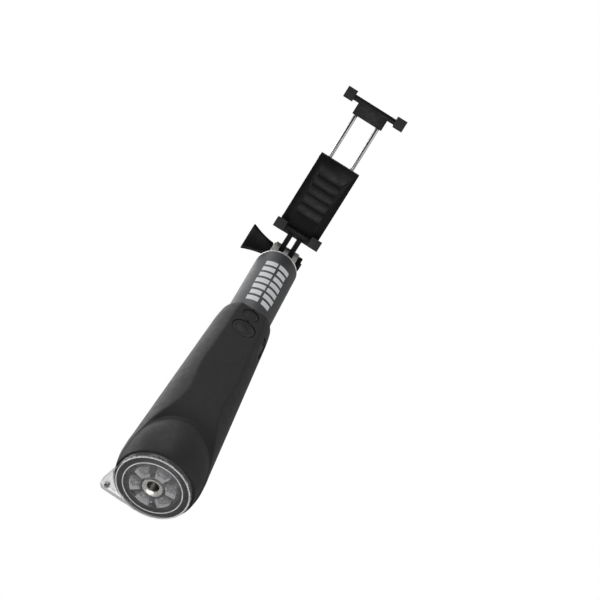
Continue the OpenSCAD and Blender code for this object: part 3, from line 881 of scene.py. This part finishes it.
@dataclass
class Port:
    """The charging port's opening and its rubber cover."""

    height: float = 15.4
    width: float = 6.0
    set_in: float = 0.2
    edge: float = 0.25
    # Depth inwards and outwards that the cutter spans, and the points round each of its ends.
    cut: Pair = (-3.5, 4.0)
    end_points: int = 13

    def outward(self) -> Vector:
        """Returns the direction that the port faces."""
        return Vector(joint("port_hinge")["axis"]).cross(Vector((0, 0, 1)))

    def openings(self) -> list[Piece]:
        """Makes the solid that cuts the sleeve for the port."""
        low, high = box_mm("port_cover")
        middle = (low + high) / 2
        outward = self.outward()
        across = outward.cross(Vector((0, 0, 1)))
        r = self.width / 2
        reach = (self.height - self.width) / 2
        outline = []
        for side, start in ((1, 0), (-1, 180)):
            outline += arc_points((0, side * reach), r, start, start + 180, self.end_points)
        # The slot's own Y runs up the stick once it faces outwards.
        face = Matrix(((across.x, 0, outward.x, 0), (across.y, 0, outward.y, 0), (0, 1, 0, 0), (0, 0, 0, 1)))
        rings = np.array([[(x, y, d) for x, y in outline] for d in self.cut])
        return [loft("port_slot", rings, place(middle, face))]

    def build(self) -> None:
        """Makes the cover, set a little into its slot."""
        cover = softened("port_cover", self.edge)
        cover.data.transform(Matrix.Translation(-self.outward() * self.set_in * MM))
        dressed(cover)


# ---------- end cap ----------

@dataclass
class Insert:
    """Threaded tripod insert with a countersunk mouth, knurled bands and painted shade in its bore."""

    outer_r: float = 4.8
    length: float = 9.4
    depth: float = 8.0
    mouth_r: float = 4.0
    crest_r: float = 2.62
    root_r: float = 3.2
    pitch: float = 1.27
    flank: float = 1.3
    flat: float = 0.12
    columns: int = 96
    thread_rows: int = 72
    thread_from: float = 0.9
    # Radius that closes an end on the axis.
    pole_r: float = 0.02
    chamfer: float = 0.3
    mouth_edge: float = 0.12
    # Lower edge of each groove between the knurled bands, the groove's height, depth and slope.
    grooves: Pair = (5.2, 2.4)
    groove: Triple = (0.9, 0.4, 0.15)
    ribs: int = 44
    rib: Triple = (0.35, 0.26, 1.3)
    rib_z: float = 1.6
    # Height above the mouth where the painted shade of the bore starts.
    bore_from: float = 0.6

    def thread_r(self, angle: np.ndarray, z: float) -> np.ndarray:
        """Returns the thread's radius round the hole at one height."""
        phase = (z / self.pitch - angle / (2 * math.pi)) % 1.0
        share = np.clip(np.abs(phase - 0.5) * 2 * self.flank - self.flat, 0, 1)
        return self.crest_r + (self.root_r - self.crest_r) * share

    def build(self) -> None:
        """Makes the insert and its knurl."""
        angle = full_turn(self.columns)
        r, top = self.outer_r, self.length
        height, deep, slope = self.groove
        rows = [(self.pole_r, top), (r - self.chamfer, top), (r, top - self.chamfer)]
        for low in self.grooves:
            rows += [(r, low + height), (r - deep, low + height - slope), (r - deep, low + slope), (r, low)]
        rows += [(r, self.mouth_edge), (r - self.mouth_edge, 0.0), (self.mouth_r, 0.0)]
        rows += [(self.thread_r(angle, z), z) for z in np.linspace(self.thread_from, self.depth, self.thread_rows)]
        rows += [(self.pole_r, self.depth + 0.3)]
        rings = np.array([ring_at(radius, angle, z) for radius, z in rows])
        insert = dressed(stand_for(loft("thread_insert", rings), "handle", "tripod_insert"))
        # The faces inside the threaded bore get the darker metal: painted shade in the hole.
        insert.data.materials.append(PAINTED_BORE_SHADE.make("bore_finish"))
        for face in insert.data.polygons:
            if face.center.xy.length < self.root_r * 1.02 * MM and face.center.z > self.bore_from * MM:
                face.material_index = 1
        knurl = ring_of_ribs("insert_knurl", r - 0.02, self.ribs, self.rib, self.rib_z)
        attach(knurl, "handle")
        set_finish(knurl, "nickel")


@dataclass(frozen=True)
class FaceRing:
    """A fine ring moulded in the cap's face: its middle radius, width and depth."""

    middle: float
    width: float
    depth: float = 0.4

    def cutter(self) -> Piece:
        """Makes the solid that cuts the ring's V groove."""
        low, high = self.middle - self.width / 2, self.middle + self.width / 2
        return lathe("cap_ring", [(low, -1), (high, -1), (high, 0.02), (self.middle, self.depth), (low, 0.02)],
                     segments=128)


class Grade(Enum):
    """How a face of the cap treats light; the value is its material's place in the list. The bright faces carry
    painted highlights, and the faces of the lanyard hole painted shade.
    """

    polished = 0
    frosted = 1
    bright = 2
    smoked = 3


@dataclass
class EndCap:
    """Clear base cap with its lanyard tab and tripod insert."""

    edge: float = 0.22
    rings: tuple[FaceRing, ...] = (FaceRing(17.2, 0.45), FaceRing(14.1, 0.55))
    # Radii, and heights where they matter, of the faces that aren't polished.
    ring_z: Pair = (0.01, 0.6)
    pocket: Pair = (6.1, 11.1)
    pocket_z: Pair = (0.05, 2.6)
    rim: Pair = (17.3, 18.15)
    rim_top: float = 0.45
    hole_r: float = 1.4
    hole_z: Pair = (0.1, 2.9)

    def build(self) -> None:
        """Makes the cap with its fine moulded rings, and the insert in its middle."""
        cap = carve(softened("end_cap", self.edge, name="clear_base_cap"), [ring.cutter() for ring in self.rings])
        dressed(tidy_mesh(cap))
        # The extra plastics: frosted, then near-white for painted highlights, then dark for painted shade in the
        # lanyard hole.
        for finish, name in ((FROSTED, "frosted_finish"), (PAINTED_GLINT, "bright_finish"), (PAINTED_HOLE_SHADE, "smoked_finish")):
            cap.data.materials.append(finish.make(name))
        for face in cap.data.polygons:
            reach = [cap.data.vertices[i].co.xy.length / MM for i in face.vertices]
            face.material_index = self.grade(face, reach).value
        Insert().build()

    def hole(self) -> Vector:
        """Returns the middle of the lanyard hole, seen from below."""
        mount = next(m for m in frame["record"]["mounts"] if m["name"] == "lanyard_hole")
        return Vector(mount["pos_m"][:2]) / MM

    def grade(self, face: bpy.types.MeshPolygon, reach: Sequence[float]) -> Grade:
        """Sorts a face of the cap by how it treats light; ring grooves and pocket walls get painted highlights, and
        the lanyard hole painted shade.

        Args:
            face: The face.
            reach: Distances of its corners from the axis.

        Returns:
            The face's grade.
        """
        r, z = face.center.xy.length / MM, face.center.z / MM
        # Ring grooves and pocket walls get the bright grade, a painted highlight; pocket ceilings are frosted.
        if any(abs(r - ring.middle) < ring.width for ring in self.rings) and self.ring_z[0] < z < self.ring_z[1]:
            return Grade.bright
        if self.pocket[0] < r < self.pocket[1] and self.pocket_z[0] < z < self.pocket_z[1]:
            return Grade.frosted if abs(face.normal.z) > 0.8 else Grade.bright
        # The lanyard hole's wall gets painted shade.
        if (face.center.xy / MM - self.hole()).length < self.hole_r and self.hole_z[0] < z < self.hole_z[1]:
            return Grade.smoked
        if self.rim[0] < min(reach) and max(reach) < self.rim[1] and z < self.rim_top:
            return Grade.frosted
        return Grade.polished


# ---------- tubes ----------

@dataclass
class Tubes:
    """The painted outer tube with its print, and the telescopic stages inside it."""

    rim: float = 0.35
    wall: float = 1.0
    rows: int = 7
    columns: int = 2
    rim_steps: int = 6
    print_span: Pair = (144.5, 180.5)
    print_proud: float = 0.005
    column_gap: float = 8.0
    bar: Triple = (7.6, 0.05, 4.0)
    bar_steps: int = 17
    shortest: float = 0.7
    seed: int = 11
    # The rounding of each part that stays hidden until the stick is drawn out.
    inner: tuple[tuple[str, float], ...] = (
        ("tube_1", 0.15), ("tube_2", 0.15), ("tube_3", 0.15),
        ("outer_collar", 0.12), ("bush_1", 0.1), ("bush_2", 0.1))

    def outer(self) -> None:
        """Makes the outer tube with a rolled bright rim."""
        r, inside, high = TUBE_R, TUBE_R - self.wall, TUBE_TOP - self.rim
        outline = [(inside, TUBE_LOW.z), (r, TUBE_LOW.z)]
        outline += arc_points((r - self.rim, high), self.rim, 0, 90, self.rim_steps)
        outline += arc_points((inside + self.rim, high), self.rim, 90, 180, self.rim_steps)
        outline[-1] = (inside, high)
        dressed(stand_for(lathe("painted_tube", outline, segments=160), "handle", "outer_tube"))

    def print_bars(self) -> None:
        """Prints plain white bars of mixed lengths on the front of the tube."""
        tree = NodeTree("printed_bars")
        low, high = self.print_span
        middle = tree.number("Middle", (low + high) / 2 * MM)
        radius = tree.number("Radius", (TUBE_R + self.print_proud) * MM)
        grid = tree.call("GeometryNodeMeshGrid", "Mesh", {
            "Size X": tree.number("Column gap", self.column_gap * MM),
            "Size Y": tree.number("Length", (high - low) * MM),
            "Vertices X": tree.whole("Columns", self.columns), "Vertices Y": tree.whole("Rows", self.rows)})
        x, y, z = tree.add("ShaderNodeSeparateXYZ", {0: tree.call("GeometryNodeInputPosition", 0)}).outputs
        points = tree.call("GeometryNodeSetPosition", 0, {
            "Geometry": grid, "Position": tree.vector(x, z=tree.math("ADD", y, middle))})
        size = tree.vector(tree.number("Bar width", self.bar[0] * MM), self.bar[1] * MM,
                           tree.number("Bar height", self.bar[2] * MM))
        bar = tree.call("GeometryNodeMeshCube", "Mesh", {"Vertices X": self.bar_steps, "Size": size})
        share = tree.call("FunctionNodeRandomValue", 1, {
            2: tree.number("Shortest", self.shortest), 3: 1.0, "Seed": tree.whole("Seed", self.seed)},
            data_type="FLOAT")
        stood = tree.call("GeometryNodeInstanceOnPoints", "Instances", {
            "Points": points, "Instance": bar, "Scale": tree.vector(share, 1.0, 1.0)})
        real = tree.call("GeometryNodeRealizeInstances", 0, {"Geometry": stood})
        # The flat bars are bent round the tube: X becomes an angle, and Y a distance from the axis.
        angle = tree.math("DIVIDE", x, radius)
        reach = tree.math("SUBTRACT", radius, y)
        bent = tree.vector(tree.math("MULTIPLY", reach, tree.math("SINE", angle)),
                           tree.math("MULTIPLY", tree.math("MULTIPLY", reach, -1.0), tree.math("COSINE", angle)), z)
        wrap = tree.call("GeometryNodeSetPosition", 0, {"Geometry": real, "Position": bent})
        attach(tree.grow(wrap, PRINT_WHITE.make("print_white")), "handle")

    def build(self) -> None:
        """Makes every tube that shows when the stick is drawn out."""
        self.outer()
        self.print_bars()
        for node, width in self.inner:
            dressed(softened(node, width, 2))


# ---------- fork and thumb screw ----------

@dataclass
class ThumbScrew:
    """Fan-shaped knob, its bolt and washer."""

    neck_x: float = -8.35
    outer_x: float = -23.5
    neck_half: float = 4.4
    flare: float = 3.8
    neck_thick: float = 4.2
    edge_thick: float = 2.2
    rounding: float = 0.7
    # Powers of the fan's flare and of its thinning, and how fast it thins and squares off.
    flare_power: float = 1.7
    thin_power: float = 0.9
    thin_rate: float = 1.15
    square_rate: float = 2.2
    # Shares of the length over which the two ends are rounded.
    ends: Pair = (0.04, 0.045)
    scoop: float = 0.22
    scoop_half: float = 0.8
    turn: float = 54.0
    columns: int = 72
    rows: int = 40
    bolt_edge: float = 0.4
    washer_edge: float = 0.15

    def section(self, half: float, thick: float, power: float) -> np.ndarray:
        """Returns one rounded cross-section of the knob.

        Args:
            half: Half its width, up the stick.
            thick: Half its thickness, front to back.
            power: 2 for an ellipse, more for squarer corners.

        Returns:
            Points of (across, up).
        """
        turn = full_turn(self.columns)
        c, s = np.cos(turn), np.sin(turn)
        across = thick * np.sign(c) * np.abs(c) ** (2 / power)
        up = half * np.sign(s) * np.abs(s) ** (2 / power)
        # A shallow scoop on both faces leaves a rim along the fan's edges.
        dip = np.clip(1 - (up / (self.scoop_half * half)) ** 2, 0, 1)
        scoop = self.scoop * thick * dip * (power - 2) / 4
        return np.stack([across - np.sign(across) * scoop, up], -1)

    def ring(self, share: float) -> list[Triple]:
        """Returns the knob's ring at a share of its length from the neck."""
        x = self.neck_x + (self.outer_x - self.neck_x) * share
        half = self.neck_half + self.flare * share**self.flare_power
        thinned = min(1, share * self.thin_rate) ** self.thin_power
        thick = self.neck_thick + (self.edge_thick - self.neck_thick) * thinned
        end = min(share / self.ends[0], (1 - share) / self.ends[1], 1.0)
        shrink = self.rounding * (1 - math.sqrt(1 - (1 - end) ** 2))
        power = 2 + 4 * min(1, share * self.square_rate)
        return [(x, -a, u) for a, u in self.section(half - shrink, thick - shrink, power)]

    def build(self) -> None:
        """Makes the knob, and rounds off the bolt and washer."""
        rings = np.array([self.ring(i / self.rows) for i in range(self.rows + 1)])
        where = place((0, 0, TILT_AXIS.z), Matrix.Rotation(math.radians(self.turn), 4, "X"))
        dressed(stand_for(loft("fan_knob", rings, where), "thumb_screw", "thumb_knob"))
        dress(softened("thumb_bolt", self.bolt_edge), Finish.seal_rubber.material)
        dressed(softened("bolt_washer", self.washer_edge))


@dataclass
class Fork:
    """Three-pronged head with the nut cage on its right."""

    edge: float = 0.6
    cage_edge: float = 0.3
    nut_edge: float = 0.2

    def build(self) -> None:
        """Rounds off the head, the cage and the nut."""
        dressed(softened("fork_head", self.edge))
        dressed(softened("nut_cage", self.cage_edge))
        dress(softened("lock_nut", self.nut_edge), Finish.seal_rubber.material)
        ThumbScrew().build()


# ---------- clamp ----------

@dataclass
class Clamp:
    """Lower jaw with its tray, sliding upper jaw, pads, rods and screws."""

    plastic_edge: float = 0.35
    pad_edge: float = 0.9
    cover_edge: float = 0.5
    rod_edge: float = 0.3
    collar_edge: float = 0.15
    screw_edge: float = 0.08
    coil_sharp_deg: float = 60.0

    def build(self) -> None:
        """Rounds off every visible part of the clamp."""
        edges = {
            "lower_jaw": self.plastic_edge, "upper_jaw": self.plastic_edge, "clamp_cover": self.cover_edge,
            "lower_pads": self.pad_edge, "upper_pads": self.pad_edge, "cover_screws": self.screw_edge,
            "guide_rods": self.rod_edge, "rod_collars": self.collar_edge,
        }
        for node, width in edges.items():
            dressed(softened(node, width))
        self.springs()

    def springs(self) -> None:
        """Makes the coil springs that shorten between the tray's bulkhead and the rods' collars on the real clamp,
        here as one plain copy of the CAD springs.
        """
        coils = linked("coil_springs", frame["nodes"]["jaw_springs"].data.copy())
        tidy_mesh(coils, self.coil_sharp_deg)
        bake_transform(coils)
        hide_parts("jaw_springs")
        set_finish(coils, SLOT_OF["jaw_springs"])
        dressed(coils)


# ---------- studio ----------

@dataclass
class Lamp:
    """A soft square light, placed in the camera's own directions."""

    name: str
    right: float
    up: float
    near: float
    size: float
    watts: float


@dataclass
class Studio:
    """Floor, lights and camera; distances in metres, angles in degrees."""

    azimuth: float = -5.51
    elevation: float = -54.51
    roll: float = 27.24
    distance: float = 0.7351
    target: Triple = (0.02001, 0.0, 0.18137)
    lens: float = 79.74
    sensor: float = 36.0
    clip: Pair = (0.01, 50.0)
    floor_z: float = -0.70
    floor_size: float = 60.0
    floor_glow: float = 0.55
    sky: float = 0.36
    ground: float = 0.05
    # Heights of a direction between which the surround goes from dark to light, by itself and through the cap.
    dusk: Pair = (-0.35, 0.55)
    dusk_through: Pair = (0.5, 0.78)
    lamps: tuple[Lamp, ...] = (
        Lamp("key", -0.80, 0.30, 0.05, 0.7, 5.0),
        Lamp("fill", 0.70, -0.15, 0.35, 0.6, 1.4),
        Lamp("under", -0.16, -0.33, 0.72, 0.5, 2.6),
        Lamp("top", 0.05, 0.75, 0.10, 0.6, 2.0),
        Lamp("back", -0.3, 0.4, -0.8, 0.8, 3.0),
    )

    def axes(self) -> tuple[Vector, Vector, Vector]:
        """Returns the camera's right, up and backward directions."""
        az, el, roll = (math.radians(a) for a in (self.azimuth, self.elevation, self.roll))
        back = Vector((math.sin(az) * math.cos(el), -math.cos(az) * math.cos(el), math.sin(el)))
        right = (-back).cross(Vector((0, 0, 1))).normalized()
        up = right.cross(-back)
        return (right * math.cos(roll) + up * math.sin(roll),
                up * math.cos(roll) - right * math.sin(roll), back)

    def aim(self, thing: Piece, right: Vector, up: Vector, back: Vector, spot: Vector) -> None:
        """Turns and places a camera or lamp.

        Args:
            thing: The object to place.
            right: Its own +X.
            up: Its own +Y.
            back: Its own +Z, away from what it faces.
            spot: Where it stands.
        """
        turn = Matrix((right, up, back)).transposed().to_4x4()
        thing.matrix_world = Matrix.Translation(spot) @ turn
        bpy.context.scene.collection.objects.link(thing)

    def camera(self) -> None:
        """Makes the camera, held so that the stick leans as it does in the hand."""
        right, up, back = self.axes()
        data = bpy.data.cameras.new("camera")
        data.lens = self.lens
        data.sensor_width = self.sensor
        data.clip_start, data.clip_end = self.clip
        eye = bpy.data.objects.new("camera", data)
        self.aim(eye, right, up, back, Vector(self.target) + back * self.distance)
        bpy.context.scene.camera = eye

    def light(self) -> None:
        """Makes the lamps."""
        right, up, back = self.axes()
        middle = Vector(self.target)
        for lamp in self.lamps:
            data = bpy.data.lights.new(lamp.name, "AREA")
            data.size, data.energy = lamp.size, lamp.watts
            away = right * lamp.right + up * lamp.up + back * lamp.near
            facing = away.normalized()
            side = facing.orthogonal().normalized()
            self.aim(bpy.data.objects.new(lamp.name, data), side, facing.cross(side), facing, middle + away)

    def surround(self) -> None:
        """Makes the white surround, which lights the stick from above more than from below."""
        world = bpy.data.worlds.new("surround")
        bpy.context.scene.world = world
        world.use_nodes = True
        wires = Wiring(world.node_tree)
        height = wires.call("ShaderNodeSeparateXYZ", "Z", {0: wires.call("ShaderNodeTexCoord", "Generated")})
        levels = [
            wires.call("ShaderNodeMapRange", "Result", {
                "Value": height, "From Min": dusk[0], "From Max": dusk[1], "To Min": self.ground, "To Max": high},
                interpolation_type="SMOOTHSTEP")
            for dusk, high in ((self.dusk, self.sky), (self.dusk_through, 1.0))
        ]
        path = wires.add("ShaderNodeLightPath").outputs
        # What shows through the clear cap is the same white as behind the stick.
        through = wires.call("ShaderNodeMix", 0, {0: path["Is Transmission Ray"], 2: levels[0], 3: levels[1]})
        shown = wires.call("ShaderNodeMath", 0, {0: path["Is Camera Ray"], 1: through}, operation="MAXIMUM")
        sky = wires.tree.nodes["Background"].inputs
        wires.feed(sky["Strength"], shown)
        wires.feed(sky["Color"], (1, 1, 1, 1))
        bpy.context.scene.view_settings.view_transform = "Standard"

    def floor(self) -> None:
        """Lays a plain pale floor well below the stick, which is held up in the air."""
        h = self.floor_size / 2 / MM
        z = self.floor_z / MM
        slab = add_piece("floor", [(-h, -h, z), (h, -h, z), (h, h, z), (-h, h, z)], [(0, 1, 2, 3)])
        paint = Moulded((0.88, 0.88, 0.87), 0.7, 40, 0.2, 0.02).make("floor_paint")
        glow = paint.node_tree.nodes["Principled BSDF"].inputs
        glow["Emission Color"].default_value = (1, 1, 1, 1)
        glow["Emission Strength"].default_value = self.floor_glow
        dress(slab, paint)
        # The floor stays out of reflections, so that the underside is lit as if held high in the air.
        slab.visible_glossy = slab.visible_diffuse = slab.visible_transmission = False

    def build(self) -> None:
        """Makes the whole set."""
        self.camera()
        self.light()
        self.surround()
        self.floor()


def dress_hidden() -> None:
    """Gives every CAD node that is still shown the finish of its slot."""
    for node, piece in frame["nodes"].items():
        if not piece.hide_render:
            piece.data.materials.clear()
            piece.data.materials.append(Finish[SLOT_OF[node]].material)
            for face in piece.data.polygons:
                face.material_index = 0
            LOG.info("%s: CAD solid, %s", node, SLOT_OF[node])


def main() -> None:
    """Builds the studio and then the stick, from the base up."""
    logging.basicConfig(level=logging.INFO, format="%(name)s: %(message)s")
    Studio().build()
    buttons, port = Buttons(), Port()
    Grip().build(buttons, port)
    buttons.build()
    port.build()
    EndCap().build()
    Tubes().build()
    Fork().build()
    Clamp().build()
    dress_hidden()


if __name__ == "__main__":
    main()
